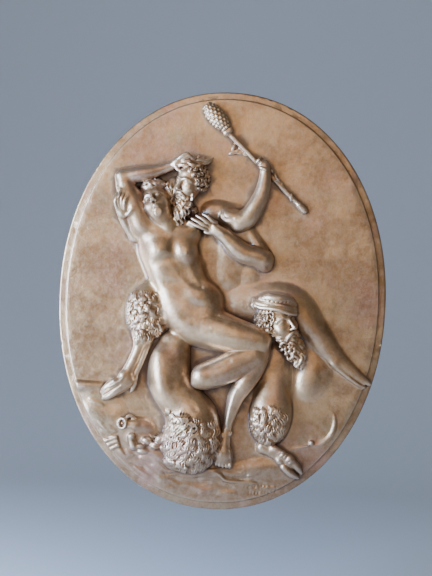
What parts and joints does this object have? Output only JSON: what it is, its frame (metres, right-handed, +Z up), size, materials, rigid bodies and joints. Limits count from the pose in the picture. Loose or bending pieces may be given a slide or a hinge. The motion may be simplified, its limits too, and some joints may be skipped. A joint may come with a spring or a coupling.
{
  "type": "oval relief wall plaque",
  "caption": "Oval cast relief wall plaque, upright, with a stepped plain rim and a bacchic figure group in high relief on its field; flat plain back.",
  "frame": {"origin": "centre of the flat back face, where the plaque lies against the wall", "axes": "+Z up along the long axis, +X to the viewer's right, +Y into the wall, the relief faces -Y"},
  "size_m": [0.403, 0.0564, 0.515],
  "materials": {
    "patinated_bronze": "cast bronze with a thin light-brown patina, semi-gloss, rubbed paler on the high forms and darker in the hollows"
  },
  "bodies": {
    "root": {"relief_plaque": "patinated_bronze"}
  },
  "joints": []
}
